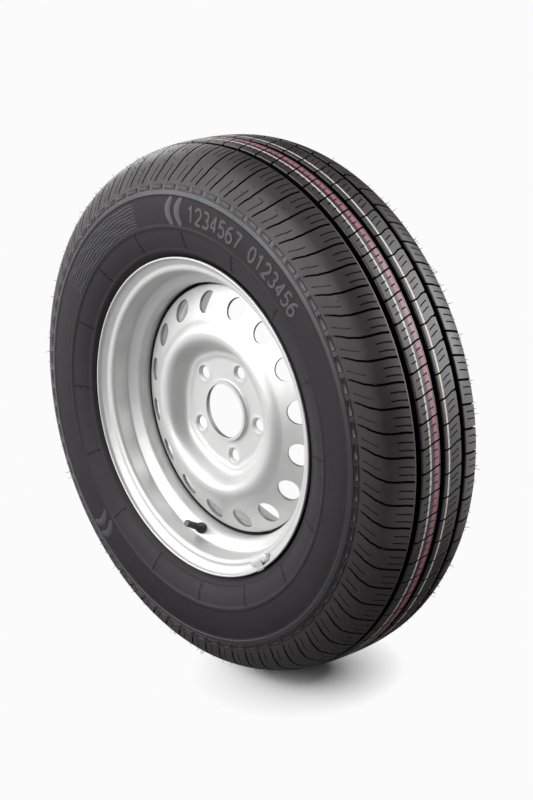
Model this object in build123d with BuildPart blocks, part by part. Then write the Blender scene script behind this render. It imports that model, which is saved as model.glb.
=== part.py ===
from build123d import *
import os
from math import cos, radians, sin, sqrt, tan

# A pressed steel wheel with its tyre, standing upright, in millimetres.
# The wheel turns about Y, its outer face looks along -Y, and Z is up.
# The origin is on the axis, midway between the rim's flanges.
# Sections are drawn with X as the radius and Y as the place along the axis.
# An angle round the wheel starts at X and goes towards Z.

# Tyre
tyre_diameter = 650.0
tyre_width = 188.0
tread_arc = 330.0  # radius of the tread's curve across its ribs
tread_inset = 30.0  # from the tyre's side in to the tread's edge
edge_drop = 11.8  # from the tread's middle down to its edge
groove_spacing = 35.2
groove_width = 7.2
groove_depth = 8.5
pitch_count = 72  # repeats of the tread pattern round the tyre
tread_angle = 1.2  # middle of the pattern, in degrees
slot_angle = 0.4  # degrees that a shoulder slot takes up round the tyre
rib_slot_width = 2.2
rib_slot_depth = 6.0
rib_slot_skew = 14.0  # degrees from straight across the rib
rib_slot_shift = 0.6  # degrees from the pattern's middle
shoulder_slot_depth = 6.5
shoulder_slot_shift = 0.8  # degrees from the pattern's middle
shoulder_slot_land = 3.5  # rib left whole beside the groove
shoulder_drop = 10.0  # from the tread's edge down to the shoulder's bend
shoulder_out = 11.0
shoulder_foot_drop = 31.0  # from the tread's edge down to the shoulder's foot
shoulder_foot_out = 22.8
slot_foot_land = 3.0  # shoulder left whole below the slots
sidewall_top_share = 0.76  # top of the widest band, between the rim's seat and the shoulder's foot
sidewall_foot_share = 0.52
bead_width = 17.0
bead_clearance = 0.2
tread_rubber = 7.5  # left under the grooves
sidewall_rubber = 8.5

# Rim
rim_width = 139.7  # between the flanges
seat_diameter = 354.8  # at the flange
flange_height = 17.3
curl_radius = 9.5
rim_thickness = 2.8
seat_taper = 5.0  # degrees
seat_length = 21.0  # of the outer seat
well_depth = 20.4  # from the seat at the flange to the inside of the well
well_wall_angle = 30.0  # degrees from square to the axis
well_length = 46.0
well_ramp_angle = 33.0  # degrees from the axis, on the inner side

# Disc
disc_thickness = 3.6
wheel_offset = 30.0  # from the rim's middle out to the mounting face
hub_bore_radius = 33.3
collar_height = 4.8
bolt_count = 5
bolt_circle_radius = 56.0
bolt_hole_radius = 7.25
bolt_first_angle = 66.54
boss_radius = 13.0
boss_height = 1.4
bolt_seat_radius = 9.6
bolt_face_radius = 71.0
crown_inner_share = 0.198  # shares of the way from the bolt face to the disc's flange
crown_outer_share = 0.349
crease_share = 0.493
vent_share = 0.725
crown_height = 22.0  # above the bolt face
crease_height = 14.1
vent_count = 16
vent_radius = 12.0
vent_first_angle = 125.96
vent_band_angle = 27.0  # degrees that the vent band falls back
edge_chamfer = 7.0
disc_flange_length = 18.0
disc_clearance = 0.05
weld_count = 4
weld_arc = 50.0  # degrees
weld_leg = 3.2

# Valve, measured along its own axis from the face of the well's wall
valve_angle = -102.2
valve_height = 4.4  # of the axis above the well
valve_hole_radius = 5.65
valve_clearance = 0.2
bulb_radius = 7.0
bulb_length = 3.6
neck_radius = 4.4
neck_start = 13.0
body_length = 20.0
valve_foot_radius = 6.6
valve_foot_length = 4.6
stem_radius = 3.1
stem_head_radius = 3.85
stem_length = 30.5
stem_foot = 5.5  # behind the face
air_radius = 1.4
core_bore_radius = 2.5
core_bore_start = 11.0
core_clearance = 0.05
barrel_radius = 1.9
barrel_start = 15.5
plug_start = 21.0
core_length = 29.5
chamber_radius = 1.45
chamber_start = 16.6
chamber_end = 24.5
guide_radius = 0.65
pin_radius = 0.6
pin_end = 30.2
collar_radius = 1.2
pin_collar_start = 22.6
pin_collar_length = 0.8
pin_foot_start = 12.8
seal_radius = 1.6
seal_start = 13.5
seal_end = 15.4
gasket_start = 17.0
gasket_end = 19.5
spring_wire = 0.4
spring_turns = 3
spring_clearance = 0.05
cap_radius = 4.3
cap_wall = 0.35
cap_start = 20.6
cap_top = 1.3
cap_seal_thickness = 0.6

# Balance weight on the outer flange
weight_angle = -54.2
weight_arc = 10.4  # degrees
weight_height = 10.0
weight_depth = 7.5
weight_corner_height = 4.6  # of the corner that follows the flange's curl
weight_corner_depth = 2.3
weight_chamfer = 2.5
clip_arc = 4.0  # degrees
clip_thickness = 0.6
clip_reach = 3.0  # over the lip
clip_tongue = 5.0  # down the weight's face
clip_clearance = 0.1

tyre_radius = tyre_diameter / 2
tyre_half = tyre_width / 2
rim_half = rim_width / 2
seat_radius = seat_diameter / 2
well_radius = seat_radius - well_depth
flange_radius = seat_radius + flange_height
rim_foot_radius = flange_radius - curl_radius
curl_mid = curl_radius * (1 - cos(radians(45)))
wheel_plane = Plane.XZ  # its normal points out of the wheel's outer face
os.makedirs("parts", exist_ok=True)


def crown(y):
    """Radius of the tread's surface at a distance y from the middle."""
    return tyre_radius - tread_arc + sqrt(tread_arc**2 - y**2)


def section_at(angle):
    """Plane through the axis at an angle round the wheel, with the radius as x and the axis as y."""
    return Plane.XY.rotated((0, -angle, 0))


def sheet_outline(line, thickness):
    """Points round a sheet's section: a line, and the same line moved to its left."""
    points = [Vector(*place) for place in line]
    steps = [(end - start).normalized() for start, end in zip(points, points[1:])]
    normals = [Vector(-step.Y, step.X) for step in steps]
    moved = []
    for point, before, after in zip(points, normals[:1] + normals, normals + normals[-1:]):
        moved.append(point + (before + after) * (thickness / (1 + before.dot(after))))
    return points + moved[::-1]


# Tyre: one half of the section, mirrored and turned, then the slots of the tread pattern
tread_half = tyre_half - tread_inset
edge_radius = tyre_radius - edge_drop
rib_inner = groove_width / 2
rib_outer = groove_spacing - groove_width / 2
rib_middle = (rib_inner + rib_outer) / 2
shoulder_rib = groove_spacing + groove_width / 2
middle_floor = tyre_radius - groove_depth
outer_floor = crown(groove_spacing) - groove_depth
slot_start = shoulder_rib + shoulder_slot_land
bend_radius = edge_radius - shoulder_drop
bend = tread_half + shoulder_out
foot_radius = edge_radius - shoulder_foot_drop
foot = tread_half + shoulder_foot_out
sidewall_top_radius = seat_radius + sidewall_top_share * (foot_radius - seat_radius)
sidewall_foot_radius = seat_radius + sidewall_foot_share * (foot_radius - seat_radius)
slot_end_radius = foot_radius + slot_foot_land
slot_end = foot - slot_foot_land * (foot - bend) / (bend_radius - foot_radius)
bend_inset = shoulder_slot_depth * cos(radians(45))
bead_face = rim_half - bead_clearance
bead_toe_radius = seat_radius + bead_clearance - bead_width * tan(radians(seat_taper))
bead_slope = flange_radius - rim_half - 2 * curl_mid + bead_clearance / cos(radians(45))
carcass_radius = middle_floor - tread_rubber

with BuildPart() as rib_slot:
    with Locations((crown(rib_middle) - rib_slot_depth, 0, rib_middle)):
        Box(
            2 * rib_slot_depth,
            rib_slot_width,
            groove_spacing,
            rotation=(rib_slot_skew, 0, 0),
            align=(Align.MIN, Align.CENTER, Align.CENTER),
        )

with BuildPart() as shoulder_slot:
    with BuildSketch(Plane.XZ.rotated((0, 0, -slot_angle / 2))):
        with BuildLine():
            Polyline(
                (tyre_radius, slot_start),
                (crown(slot_start) - shoulder_slot_depth, slot_start),
                (bend_radius - bend_inset, bend - bend_inset),
                (slot_end_radius, slot_end),
                (slot_end_radius, tyre_half),
                (tyre_radius, tyre_half),
                close=True,
            )
        make_face()
    revolve(axis=Axis.Z, revolution_arc=slot_angle)

with BuildPart(wheel_plane) as tyre:
    with BuildSketch(Plane.XY):
        with BuildLine():
            Polyline(
                (middle_floor, 0),
                (middle_floor, rib_inner),
                (crown(rib_inner), rib_inner),
                (crown(rib_outer), rib_outer),
                (outer_floor, rib_outer),
                (outer_floor, shoulder_rib),
                (crown(shoulder_rib), shoulder_rib),
                (edge_radius, tread_half),
                (bend_radius, bend),
                (foot_radius, foot),
                (sidewall_top_radius, tyre_half),
                (sidewall_foot_radius, tyre_half),
                (bead_slope + rim_half + curl_radius, rim_half + curl_radius),
                (bead_slope + bead_face, bead_face),
                (seat_radius + bead_clearance, bead_face),
                (bead_toe_radius, rim_half - bead_width),
                (sidewall_top_radius, tyre_half - sidewall_rubber),
                (carcass_radius, rib_outer),
                (carcass_radius, 0),
                close=True,
            )
        make_face()
        mirror(about=Plane.XZ)
    revolve(axis=Axis.Y)
    with PolarLocations(0, pitch_count, tread_angle - shoulder_slot_shift):
        add(shoulder_slot.part, mode=Mode.SUBTRACT)
    with PolarLocations(0, pitch_count, tread_angle + shoulder_slot_shift):
        add(shoulder_slot.part, rotation=(180, 0, 0), mode=Mode.SUBTRACT)
    with PolarLocations(0, pitch_count, tread_angle + rib_slot_shift):
        add(rib_slot.part, mode=Mode.SUBTRACT)
    with PolarLocations(0, pitch_count, tread_angle - rib_slot_shift):
        add(rib_slot.part, rotation=(180, 0, 0), mode=Mode.SUBTRACT)

tyre.part.label = "tyre"
export_step(tyre.part, "parts/tyre.step")

# Rim: a sheet of even thickness, drawn along its tyre side, with the valve hole
seat_end_radius = seat_radius - seat_length * tan(radians(seat_taper))
seat_end = rim_half - seat_length
well_outer_radius = well_radius + rim_thickness
wall_slope = tan(radians(well_wall_angle))
well_front = seat_end - (seat_end_radius - well_outer_radius) * wall_slope
well_back = well_length - well_front
ramp_slope = tan(radians(well_ramp_angle))
taper_slope = tan(radians(seat_taper))
ramp_end = (
    seat_radius - well_outer_radius - rim_half * taper_slope + well_back * ramp_slope
) / (ramp_slope - taper_slope)
flange_line = [
    (seat_radius, rim_half),
    (rim_foot_radius, rim_half),
    (flange_radius - curl_mid, rim_half + curl_mid),
    (flange_radius, rim_half + curl_radius),
]

# The valve stands square on the well's wall
wall_sin = sin(radians(well_wall_angle))
wall_cos = cos(radians(well_wall_angle))
valve_radius = well_outer_radius + valve_height
valve_y = -well_front - (valve_radius - well_outer_radius) * wall_slope - rim_thickness / wall_cos
radial_x = cos(radians(valve_angle))
radial_z = sin(radians(valve_angle))
valve_axis = Axis(
    (valve_radius * radial_x, valve_y, valve_radius * radial_z),
    (-wall_sin * radial_x, -wall_cos, -wall_sin * radial_z),
)
valve_plane = Plane(valve_axis.position, (-radial_z, 0, radial_x), valve_axis.direction)
valve_section = Plane(valve_axis.position, valve_plane.x_dir, -valve_plane.y_dir)

tyre_side = [
    *[(r, -y) for r, y in reversed(flange_line)],
    (seat_end_radius, -seat_end),
    (well_outer_radius, -well_front),
    (well_outer_radius, well_back),
    (well_outer_radius + (ramp_end - well_back) * ramp_slope, ramp_end),
    *flange_line,
]

with BuildPart() as rim:
    with BuildSketch(Plane.XY):
        with BuildLine():
            Polyline(*sheet_outline(tyre_side, rim_thickness), close=True)
        make_face()
    revolve(axis=Axis.Y)
    with BuildSketch(valve_plane):
        Circle(valve_hole_radius)
    extrude(amount=2 * rim_thickness, both=True, mode=Mode.SUBTRACT)

rim.part.label = "rim"
export_step(rim.part, "parts/rim.step")

# Disc: a sheet drawn along its front, from the collar out to the flange that sits in the well
bolt_face = -wheel_offset - disc_thickness
crown_top = bolt_face - crown_height
crease = bolt_face - crease_height
flange_outer_radius = well_radius - disc_clearance
disc_reach = flange_outer_radius - bolt_face_radius
crown_inner_radius = bolt_face_radius + crown_inner_share * disc_reach
crown_outer_radius = bolt_face_radius + crown_outer_share * disc_reach
crease_radius = bolt_face_radius + crease_share * disc_reach
vent_circle_radius = bolt_face_radius + vent_share * disc_reach
band_end_radius = flange_outer_radius - edge_chamfer
band_slope = tan(radians(vent_band_angle))
band_end = crease + (band_end_radius - crease_radius) * band_slope
edge_end = band_end + edge_chamfer
flange_end = edge_end + disc_flange_length
vent_y = crease + (vent_circle_radius - crease_radius) * band_slope

with BuildPart() as vent:
    with Locations(Location((vent_circle_radius, 0, -vent_y), (0, vent_band_angle, 0))):
        Cylinder(vent_radius, 3 * disc_thickness)

disc_front = [
    (hub_bore_radius + disc_thickness, bolt_face - collar_height),
    (hub_bore_radius + disc_thickness, bolt_face),
    (bolt_face_radius, bolt_face),
    (crown_inner_radius, crown_top),
    (crown_outer_radius, crown_top),
    (crease_radius, crease),
    (band_end_radius, band_end),
    (flange_outer_radius, edge_end),
    (flange_outer_radius, flange_end),
]

with BuildPart(wheel_plane) as disc:
    with BuildSketch(Plane.XY):
        with BuildLine():
            Polyline(*sheet_outline(disc_front, disc_thickness), close=True)
        make_face()
    revolve(axis=Axis.Y)
    with BuildSketch(wheel_plane.offset(-bolt_face)):
        with PolarLocations(bolt_circle_radius, bolt_count, bolt_first_angle):
            Circle(boss_radius)
    extrude(amount=boss_height)
    with Locations((0, 0, -bolt_face + boss_height)):
        with PolarLocations(bolt_circle_radius, bolt_count, bolt_first_angle):
            CounterSinkHole(bolt_hole_radius, bolt_seat_radius, counter_sink_angle=60)
    with PolarLocations(0, vent_count, vent_first_angle):
        add(vent.part, mode=Mode.SUBTRACT)

disc.part.label = "disc"
export_step(disc.part, "parts/disc.step")

# Weld beads: fillets between the end of the disc's flange and the well
with BuildPart(wheel_plane) as weld_bead:
    with BuildSketch(section_at(-weld_arc / 2)):
        with BuildLine():
            Polyline(
                (flange_outer_radius, flange_end + disc_clearance),
                (flange_outer_radius, flange_end + weld_leg),
                (flange_outer_radius - weld_leg, flange_end + disc_clearance),
                close=True,
            )
        make_face()
    revolve(axis=Axis.Y, revolution_arc=-weld_arc)

with BuildPart() as weld_beads:
    for turn in range(weld_count):
        add(weld_bead.part.rotate(Axis.Y, turn * 360 / weld_count))

weld_beads.part.label = "weld_beads"
export_step(weld_beads.part, "parts/weld_beads.step")


def valve_outline(*points):
    """Closed outline in the valve's section, through points given as radius and place."""
    with BuildSketch(valve_section) as outline:
        with BuildLine():
            Polyline(*points, close=True)
        make_face()
    return outline.sketch


# Valve body: rubber, snapped into the rim's hole
grip = rim_thickness + valve_clearance

with BuildPart() as valve_body:
    profile = valve_outline(
        (stem_radius, -grip - valve_foot_length),
        (valve_foot_radius, -grip - valve_foot_length),
        (valve_foot_radius, -grip),
        (valve_hole_radius - valve_clearance, -grip),
        (valve_hole_radius - valve_clearance, valve_clearance),
        (bulb_radius, valve_clearance),
        (bulb_radius, bulb_length),
        (neck_radius, neck_start),
        (neck_radius, body_length),
        (stem_radius, body_length),
    )
    revolve(profile, axis=valve_axis)

valve_body.part.label = "valve_body"
export_step(valve_body.part, "parts/valve_body.step")

# Valve stem: brass tube in the body, with a wider threaded head
with BuildPart() as valve_stem:
    profile = valve_outline(
        (air_radius, -stem_foot),
        (stem_radius - core_clearance, -stem_foot),
        (stem_radius - core_clearance, body_length + core_clearance),
        (stem_head_radius, body_length + core_clearance),
        (stem_head_radius, stem_length),
        (core_bore_radius, stem_length),
        (core_bore_radius, core_bore_start),
        (air_radius, core_bore_start),
    )
    revolve(profile, axis=valve_axis)

valve_stem.part.label = "valve_stem"
export_step(valve_stem.part, "parts/valve_stem.step")

# Valve core: the plug and barrel that hold the pin, with the gasket round the barrel
plug_radius = core_bore_radius - core_clearance

with BuildPart() as valve_core:
    profile = valve_outline(
        (pin_radius + 2 * core_clearance, barrel_start),
        (barrel_radius, barrel_start),
        (barrel_radius, plug_start),
        (plug_radius, plug_start),
        (plug_radius, core_length),
        (guide_radius, core_length),
        (guide_radius, chamber_end),
        (chamber_radius, chamber_end),
        (chamber_radius, chamber_start),
        (pin_radius + 2 * core_clearance, chamber_start),
    )
    revolve(profile, axis=valve_axis)

valve_core.part.label = "valve_core"
export_step(valve_core.part, "parts/valve_core.step")

with BuildPart() as core_gasket:
    profile = valve_outline(
        (barrel_radius + core_clearance, gasket_start),
        (plug_radius, gasket_start),
        (plug_radius, gasket_end),
        (barrel_radius + core_clearance, gasket_end),
    )
    revolve(profile, axis=valve_axis)

core_gasket.part.label = "core_gasket"
export_step(core_gasket.part, "parts/core_gasket.step")

# Valve pin with its collar and foot, the seal that it carries, and the spring that lifts it
pin_collar_end = pin_collar_start + pin_collar_length

with BuildPart() as valve_pin:
    profile = valve_outline(
        (0, pin_foot_start),
        (collar_radius, pin_foot_start),
        (collar_radius, seal_start - core_clearance),
        (pin_radius, seal_start - core_clearance),
        (pin_radius, pin_collar_start),
        (collar_radius, pin_collar_start),
        (collar_radius, pin_collar_end),
        (pin_radius, pin_collar_end),
        (pin_radius, pin_end),
        (0, pin_end),
    )
    revolve(profile, axis=valve_axis)

valve_pin.part.label = "valve_pin"
export_step(valve_pin.part, "parts/valve_pin.step")

with BuildPart() as valve_seal:
    profile = valve_outline(
        (pin_radius + core_clearance, seal_start),
        (seal_radius, seal_start),
        (seal_radius, seal_end),
        (pin_radius + core_clearance, seal_end),
    )
    revolve(profile, axis=valve_axis)

valve_seal.part.label = "valve_seal"
export_step(valve_seal.part, "parts/valve_seal.step")

spring_radius = collar_radius - spring_wire / 2
spring_start = chamber_start + spring_clearance + spring_wire / 2
spring_end = pin_collar_start - spring_clearance - spring_wire / 2

with BuildPart() as valve_spring:
    with BuildLine():
        coil = Helix(
            (spring_end - spring_start) / spring_turns,
            spring_end - spring_start,
            spring_radius,
            center=valve_plane.offset(spring_start).origin,
            direction=valve_axis.direction,
        )
    with BuildSketch(Plane(coil @ 0, z_dir=coil % 0)):
        Rectangle(spring_wire, spring_wire)
    sweep(path=coil, is_frenet=True)

valve_spring.part.label = "valve_spring"
export_step(valve_spring.part, "parts/valve_spring.step")

# Valve cap and the seal inside its top
cap_bore_radius = cap_radius - cap_wall
cap_bore_end = stem_length + core_clearance + cap_seal_thickness + core_clearance

with BuildPart() as valve_cap:
    profile = valve_outline(
        (cap_bore_radius, cap_start),
        (cap_radius, cap_start),
        (cap_radius, cap_bore_end + cap_top / 2),
        (cap_radius - cap_top / 2, cap_bore_end + cap_top),
        (0, cap_bore_end + cap_top),
        (0, cap_bore_end),
        (cap_bore_radius, cap_bore_end),
    )
    revolve(profile, axis=valve_axis)

valve_cap.part.label = "valve_cap"
export_step(valve_cap.part, "parts/valve_cap.step")

with BuildPart() as cap_seal:
    with BuildSketch(valve_plane.offset(stem_length + core_clearance)):
        Circle(cap_bore_radius - core_clearance)
    extrude(amount=cap_seal_thickness)

cap_seal.part.label = "cap_seal"
export_step(cap_seal.part, "parts/cap_seal.step")

# Balance weight in the hollow of the outer flange, and its clip over the lip
lip_end = -rim_half - curl_radius - rim_thickness * cos(radians(67.5))
weight_back = -rim_half - rim_thickness - clip_clearance
weight_top = flange_radius - rim_thickness - curl_mid - clip_clearance
weight_bottom = weight_top - weight_height
weight_front = weight_back - weight_depth

with BuildPart() as balance_weight:
    with BuildSketch(section_at(weight_angle - weight_arc / 2)):
        with BuildLine():
            Polyline(
                (weight_bottom, weight_back),
                (weight_top - weight_corner_height, weight_back),
                (weight_top, weight_back - weight_corner_depth),
                (weight_top, weight_front),
                (weight_bottom + weight_chamfer, weight_front),
                (weight_bottom, weight_front + weight_chamfer),
                close=True,
            )
        make_face()
    revolve(axis=Axis.Y, revolution_arc=-weight_arc)

balance_weight.part.label = "balance_weight"
export_step(balance_weight.part, "parts/balance_weight.step")

clip_face = min(weight_front, lip_end) - clip_clearance
clip_under = flange_radius + clip_clearance

with BuildPart() as balance_clip:
    with BuildSketch(section_at(weight_angle - clip_arc / 2)):
        with BuildLine():
            Polyline(
                (weight_top - clip_tongue, clip_face),
                (clip_under, clip_face),
                (clip_under, lip_end + clip_reach),
                (clip_under + clip_thickness, lip_end + clip_reach),
                (clip_under + clip_thickness, clip_face - clip_thickness),
                (weight_top - clip_tongue, clip_face - clip_thickness),
                close=True,
            )
        make_face()
    revolve(axis=Axis.Y, revolution_arc=-clip_arc)

balance_clip.part.label = "balance_clip"
export_step(balance_clip.part, "parts/balance_clip.step")
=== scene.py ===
from math import radians

import bpy
import numpy as np
from mathutils import Matrix, Vector


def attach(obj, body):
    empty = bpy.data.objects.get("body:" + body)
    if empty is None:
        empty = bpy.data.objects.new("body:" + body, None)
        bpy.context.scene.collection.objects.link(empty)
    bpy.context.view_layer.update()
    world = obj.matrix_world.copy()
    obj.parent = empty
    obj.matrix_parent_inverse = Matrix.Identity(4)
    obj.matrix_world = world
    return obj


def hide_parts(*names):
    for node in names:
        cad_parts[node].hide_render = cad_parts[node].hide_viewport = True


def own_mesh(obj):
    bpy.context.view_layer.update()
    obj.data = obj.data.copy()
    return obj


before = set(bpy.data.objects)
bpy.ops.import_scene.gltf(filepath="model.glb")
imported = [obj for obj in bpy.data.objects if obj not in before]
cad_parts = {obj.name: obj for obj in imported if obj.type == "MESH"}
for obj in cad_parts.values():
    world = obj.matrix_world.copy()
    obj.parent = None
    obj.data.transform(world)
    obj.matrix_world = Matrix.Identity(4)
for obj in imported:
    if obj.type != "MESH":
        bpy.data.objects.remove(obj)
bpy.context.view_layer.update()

# A pressed steel wheel with its tyre. Sizes are in millimetres, with Y along the wheel's axis.
# A place is given by its radius, its distance y along the axis and its angle from X towards Z.
MM = 0.001
rng = np.random.default_rng(14)

# Tyre
TYRE_RADIUS = 324.9
CROWN_FALL = 9.84e-4
EDGE_FALL = 4.63e-7
PITCHES = 72
PITCH = 360.0 / PITCHES
FOOT_Y = 86.8
SIDE_Y = 93.97

# Tread. Distances are from the tyre's middle.
GROOVE_DEPTH = 8.5
GROOVE_WALL = [(0.0, GROOVE_DEPTH), (0.4, 7.6), (0.8, 1.5), (1.2, 0.65), (1.8, 0.2)]
MIDDLE_GROOVE_FOOT = 2.7
OUTER_GROOVE_FEET = (32.4, 38.0)
# faces deeper than this get the grooves' painted shade
DARK_BELOW = 1.6
RIB_SPAN = (3.4, 31.7)
RIB_CUT_DEPTH = 6.0
TIE_BAR_SPAN = (28.4, 33.0)
TIE_BAR_RAMP = (28.2, 28.7)
TIE_BAR_DEPTH = 2.6
SLOT_DEPTH = 6.5
SLOT_DEPTHS = ([39.0, 42.0, 70.0, 80.0, 86.0], [TIE_BAR_DEPTH, SLOT_DEPTH, SLOT_DEPTH, 4.0, 1.2])
SLOT_END = 85.0
SIPE_DEPTH = 3.0
LOW_SIPE_SPAN = (75.3, 84.6)
LOW_SIPE_DEPTH = 1.6

# The tread's two halves. Rows are distances from the middle, angles and sways are in degrees.
# A sipe is a fine cut. Its three offsets from the main cut are for the rib, the shoulder and its foot.
SIPE_STEPS = [0.0, 34.9, 35.1, 60.0, 75.0, 90.0]
OUTER_HALF = {
    "rib_angle": 1.65, "slot_angle": 0.15, "slot_start": 41.5,
    "rib_rows": [5.4, 7.9, 8.4, 11.5, 14.6, 15.1, 17.0, 18.9, 19.4, 22.5, 25.6, 26.1, 28.2, 28.7, 29.7],
    "shoulder_rows": [40.6, 41.2, 41.7, 45.5, 50.0, 55.0, 59.4, 59.9, 62.5, 65.0, 67.4, 69.6, 71.6],
    "rib_sipes": [(8.2, 14.8), (19.2, 25.8)], "shoulder_sipes": (41.5, 59.6),
    "near_sipe": (-1.62, -1.92, -1.45), "far_sipe": (-3.25, -3.55, -2.95),
    "rib_sway": ([4, 10, 20, 25, 33], [0.8, 0.6, 0.0, -0.3, -0.5]),
    "slot_sway": ([40, 51, 62, 71, 78.5, 85.6], [0.0, 0.4, 0.5, 0.75, 1.6, 3.3]),
}
INNER_HALF = {
    "rib_angle": 0.45, "slot_angle": 2.6, "slot_start": 38.0,
    "rib_rows": [5.4, 9.0, 13.2, 13.7, 17.0, 20.0, 23.0, 25.2, 25.7, 28.2, 28.7, 29.7],
    "shoulder_rows": [40.6, 42.5, 45.4, 45.9, 50.0, 55.0, 60.0, 64.6, 65.1, 67.4, 69.6, 71.6],
    "rib_sipes": [(13.4, 25.5)], "shoulder_sipes": (45.6, 64.9),
    "near_sipe": (-2.05, -2.0, -1.45), "far_sipe": (-3.4, -3.5, -2.95),
    "rib_sway": ([5, 13, 23.7, 31.7], [0.65, 0.45, -0.45, -0.65]),
    "slot_sway": ([37.5, 48, 63, 71, 78.5, 85.6], [0.0, 0.3, 0.7, 0.95, 1.7, 3.3]),
}
FOOT_ROWS = [73.4, 75.0, 75.6, 77.2, 78.8, 80.4, 82.0, 83.4, 84.4, 84.9, 85.9, FOOT_Y]

# Sidewall. The corners of each form are radii, or turns in parts of a pitch.
STEP_ROWS = [282.2, 283.0, 284.2]
STEP_DEPTH = 0.6
BLOCK_ROWS, BLOCK_TURNS = [276.2, 276.6, 281.2, 281.6], [0.05, 0.08, 0.80, 0.83]
BLOCK_HEIGHT = 0.9
HOLLOW_ROWS, HOLLOW_TURNS = [277.0, 277.4, 280.4, 280.8], [0.11, 0.14, 0.74, 0.77]
HOLLOW_DEPTH = 0.6
RING_ROWS = [269.4, 270.2, 275.0, 275.6]
RING_HEIGHT = 0.7
BAND_ROWS = [233.2, 234.4, 268.2, 269.2]
BAND_DEPTH = 0.65
LOWER_ROWS = [203.6, 205.0, 229.2, 230.4]
LOWER_DEPTH = 0.8
BAND_FOOT = 231.5
STROKE_STEP = 0.9
MARK_HEIGHT = 0.5
NUMERAL_FOOT, NUMERAL_HEIGHT = 242.0, 19.0
NUMERAL_WIDTH, NUMERAL_STEP = 9.6, 13.8
NUMERAL_STROKE = 1.9
NUMERAL_START = 89.5
BAR_ANGLES = (98.0, 94.2, 229.6, 225.8)
BAR_MIDDLE, BAR_HALF = 251.4, 16.4
BAR_BOW = 1.9
BAR_WIDTH, BAR_TAPER = 5.2, 2.4
RIDGE_RADII = np.arange(237.0, 267.0, 3.9)
RIDGE_START, RIDGE_ARC = 152.0, 39.5
RIDGE_HEIGHT = 0.4
MOULD_LINES = 16
MOULD_LINE_ANGLE = 2.9
MOULD_LINE_ENDS = (204.5, 232.6)
MOULD_LINE_WIDTH, MOULD_LINE_HEIGHT = 0.42, 0.25
BARB_FEET = (208.0, 217.5, 224.0)
BARB_RISE, BARB_TURN = 2.4, 0.85
BARB_WIDTH, BARB_HEIGHT = 0.36, 0.2
HAIRS = PITCHES * 6
HAIR_SPAN = (56.0, 79.0)
HAIR_LENGTHS = (2.5, 6.0)
HAIR_ROOT = 0.3
HAIR_BEND = 0.25
HAIR_WIDTHS = np.array([0.36, 0.32, 0.28, 0.22, 0.03])
HAIR_SIDES = 4

# Wheel. Lines are of (radius, y) points.
RIM_COLUMNS = 320
RIM_THICKNESS = 2.8
RIM_LINE = [
    (193.4, -80.4), (193.0, -77.5), (184.5, -71.2), (176.6, -71.2), (174.2, -49.6), (158.4, -40.4),
    (158.4, 5.2), (171.6, 25.6), (176.6, 71.2), (184.5, 71.2), (193.0, 77.5), (193.4, 80.4),
]
RIM_BENDS = [6.0, 6.5, 5.0, 6.0, 7.0, 10.0, 14.0, 5.0, 6.5, 6.0]
DISC_COLUMNS = 320
DISC_THICKNESS = 3.6
FLAT_FRONT = -33.6
DISC_LINE = [
    (39.0, FLAT_FRONT), (50.0, FLAT_FRONT), (62.0, FLAT_FRONT), (64.5, -33.75), (66.5, -34.5),
    (68.5, -35.2), (71.0, -35.4), (73.5, -36.3), (76.5, -39.0), (80.0, -44.0), (84.0, -49.3),
    (88.0, -52.9), (92.5, -55.0), (97.5, -55.6), (102.5, -54.6), (107.0, -52.2), (110.5, -49.7),
    (113.5, -47.6), (117.5, -45.5), (125.0, -41.75), (133.3, -37.55), (141.0, -33.6), (150.0, -29.0),
]
BOLT_RING = (40.5, 75.0)
VENT_RING = (116.5, 149.6)
COLLAR_LINE = [(36.9, -38.4), (36.9, FLAT_FRONT), (BOLT_RING[0], FLAT_FRONT)]
EDGE_LINE = [(VENT_RING[1], -29.25), (153.2, -27.4), (153.5, -13.0), (156.95, -8.0), (156.95, -4.1)]
BORE_WALL, COLLAR_REACH = 34.0, 45.0
BOLTS = 5
BOLT_CIRCLE = 56.0
BOLT_HOLE = 7.25
BOLT_SEAT = 9.8
SEAT_DEPTH = 3.0
MOUNTING_FACE = -30.0
FLAT_BACK = 12.0
BOSS_HEIGHT = 0.4
BOSS_RADII = [10.3, 11.2, 12.0, 12.8, 13.6, 14.6]
BOSS_RISE = [1.0, 0.94, 0.72, 0.34, 0.08, 0.0]
LOBE_REACH = 3.6
LOBE_ROWS = [63.0, 70.0, 81.0, 95.0]
BOLT_ANGLE = 66.54
VENTS = 16
VENT_CIRCLE = 133.3
VENT_RADIUS = 14.3
VENT_ANGLE = 125.96
VENT_TILT = 27.0

# Valve and balance weight
VALVE_ANGLE = -102.2
VALVE_RADIUS = 164.2
VALVE_TILT = 30.0
WELL_EDGE = (159.8, -39.7)
CAP_RIBS = 24
CAP_RIB_DEPTH = 0.14
WEIGHT_ANGLE = -54.2
WEIGHT_ARC = 10.4
WEIGHT_PLACE = (184.0, -76.6)
WEIGHT_HALF = (4.9, 3.6)

# Stage
WHITE = 0.965
ROOM_LIGHT = 0.06


# Meshes

def grid_quads(rows, columns, close_rows=True):
    """Faces of a grid whose columns run round in a ring, and whose rows may too."""
    last = rows if close_rows else rows - 1
    i, j = np.meshgrid(np.arange(last), np.arange(columns), indexing="ij")
    here, there = i * columns, (i + 1) % rows * columns
    j2 = (j + 1) % columns
    return np.stack([here + j, here + j2, there + j2, there + j], -1).reshape(-1, 4)


def tube_quads(rows, columns):
    """Faces of a tube along its rows. Each end is closed by a strip across its ring, which is even."""
    k = np.arange(columns // 2 - 1)
    cap = np.stack([k, k + 1, columns - 2 - k, columns - 1 - k], -1)
    return np.vstack([grid_quads(rows, columns, close_rows=False), cap[:, ::-1], cap + (rows - 1) * columns])


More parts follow.
